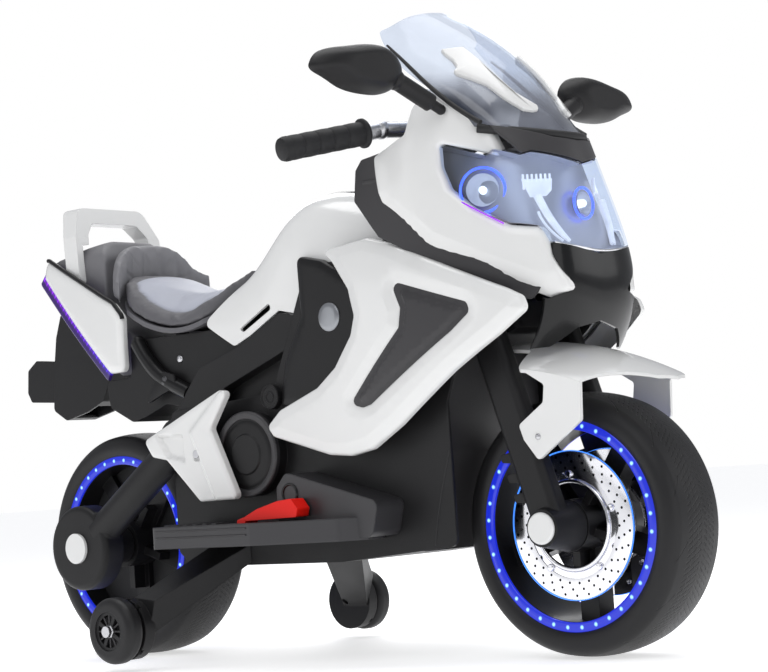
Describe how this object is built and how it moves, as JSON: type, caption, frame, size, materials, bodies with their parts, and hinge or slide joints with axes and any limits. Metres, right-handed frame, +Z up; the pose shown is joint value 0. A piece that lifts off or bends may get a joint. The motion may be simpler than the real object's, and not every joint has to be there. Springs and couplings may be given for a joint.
{
  "type": "kids electric motorbike",
  "caption": "Battery ride-on motorbike for a child: raked fork, gloss fairings, windshield, mirrors, padded seat, grab handle, lit wheels and stabiliser wheels.",
  "frame": {"origin": "on the floor under the middle of the bike's length and width", "axes": "+X forward along the bike, +Y to the rider's left, +Z up"},
  "size_m": [1.1359, 0.5876, 0.77],
  "materials": {
    "white_gloss": "gloss moulded",
    "black_plastic": "fine moulded grain",
    "black_gloss": "gloss moulded",
    "grey_plastic": "fine moulded grain",
    "tyre": "moulded tread",
    "rim_black": "satin",
    "chrome": "bright plated",
    "steel": "plated",
    "rubber": "ribbed",
    "led_blue": "lit from within",
    "led_violet": "lit from within",
    "lens": "clear",
    "windshield": "blue smoke tint",
    "seat_leather": "soft grained",
    "red": "gloss moulded",
    "bright_reflector": "vacuum plated",
    "inner_black": "plain"
  },
  "bodies": {
    "chassis": {"chassis_right": "black_plastic", "chassis_left": "black_plastic", "tank_cover": "white_gloss", "knee_panels": "black_gloss", "side_fairing_right": "white_gloss", "side_fairing_left": "white_gloss", "fairing_inserts": "black_plastic", "nose_fairing_right": "white_gloss", "nose_fairing_left": "white_gloss", "nose_shell": "grey_plastic", "headlight_lens": "lens", "headlight_housing": "bright_reflector", "chin_panel": "black_gloss", "windshield": "windshield", "windshield_trims": "white_gloss", "dashboard": "grey_plastic", "seat_base": "grey_plastic", "seat_cushion": "seat_leather", "backrest_pad": "seat_leather", "tail_core": "grey_plastic", "grab_handle": "white_gloss", "tail_panel_right": "white_gloss", "tail_panel_left": "white_gloss", "tail_light_strips": "led_violet", "rear_mudguard": "black_plastic", "heel_plates": "white_gloss", "footboards": "black_plastic", "battery": "inner_black", "control_box": "inner_black", "gear_motor": "inner_black", "axle_bolts": "steel", "swingarm_right": "black_plastic", "swingarm_left": "black_plastic", "rear_axle_caps": "white_gloss", "stabiliser_arm_right": "black_plastic", "stabiliser_arm_left": "black_plastic", "body_screws": "steel"},
    "steering": {"steering_stem": "black_plastic", "fork_leg_right": "black_plastic", "fork_leg_left": "black_plastic", "handlebar": "black_plastic", "grips": "rubber", "front_fender": "white_gloss", "front_axle": "steel", "front_axle_caps": "white_gloss"},
    "front_wheel": {"front_tyre": "tyre", "front_rim": "rim_black", "front_led_rings": "led_blue", "front_brake_discs": "chrome"},
    "rear_wheel": {"rear_tyre": "tyre", "rear_rim": "rim_black", "rear_led_rings": "led_blue"},
    "stabiliser_right": {"stabiliser_wheel_right": "tyre"},
    "stabiliser_left": {"stabiliser_wheel_left": "tyre"},
    "accelerator": {"pedal": "red"},
    "mirror_right": {"mirror_right": "black_plastic"},
    "mirror_left": {"mirror_left": "black_plastic"},
    "power_rocker": {"power_switch": "red"},
    "direction_rocker": {"direction_switch": "black_gloss"},
    "music_key": {"music_button": "grey_plastic"}
  },
  "joints": [
    {"name": "steering_turn", "type": "hinge", "parent": "chassis", "child": "steering", "pos_m": [0.418, 0, 0.15], "axis": [-0.3173, 0, 0.9483], "range_deg": [-15, 15]},
    {"name": "front_wheel_spin", "type": "hinge", "parent": "steering", "child": "front_wheel", "pos_m": [0.418, 0, 0.15], "axis": [0, 1, 0], "continuous": true},
    {"name": "rear_wheel_spin", "type": "hinge", "parent": "chassis", "child": "rear_wheel", "pos_m": [-0.336, 0, 0.15], "axis": [0, 1, 0], "continuous": true},
    {"name": "stabiliser_right_spin", "type": "hinge", "parent": "chassis", "child": "stabiliser_right", "pos_m": [-0.151, -0.227, 0.051], "axis": [0, 1, 0], "continuous": true},
    {"name": "stabiliser_left_spin", "type": "hinge", "parent": "chassis", "child": "stabiliser_left", "pos_m": [-0.151, 0.227, 0.051], "axis": [0, 1, 0], "continuous": true},
    {"name": "pedal_press", "type": "hinge", "parent": "chassis", "child": "accelerator", "pos_m": [0.022, -0.1615, 0.17], "axis": [0, 1, 0], "range_deg": [0, 7], "stiffness_Nm_per_rad": 4},
    {"name": "mirror_right_turn", "type": "hinge", "parent": "chassis", "child": "mirror_right", "pos_m": [0.3243, -0.106, 0.633], "axis": [-0.1747, -0.8807, 0.4403], "range_deg": [-15, 15]},
    {"name": "mirror_left_turn", "type": "hinge", "parent": "chassis", "child": "mirror_left", "pos_m": [0.3243, 0.106, 0.633], "axis": [-0.1747, 0.8807, 0.4403], "range_deg": [-15, 15]},
    {"name": "power_rocker_tip", "type": "hinge", "parent": "chassis", "child": "power_rocker", "pos_m": [0.331, -0.03, 0.614], "axis": [0, 1, 0], "range_deg": [-8, 8]},
    {"name": "direction_rocker_tip", "type": "hinge", "parent": "chassis", "child": "direction_rocker", "pos_m": [0.331, 0.03, 0.614], "axis": [0, 1, 0], "range_deg": [-8, 8]},
    {"name": "music_press", "type": "slide", "parent": "chassis", "child": "music_key", "axis": [0, 0, -1], "range_m": [0, 0.003], "stiffness_N_per_m": 300}
  ]
}
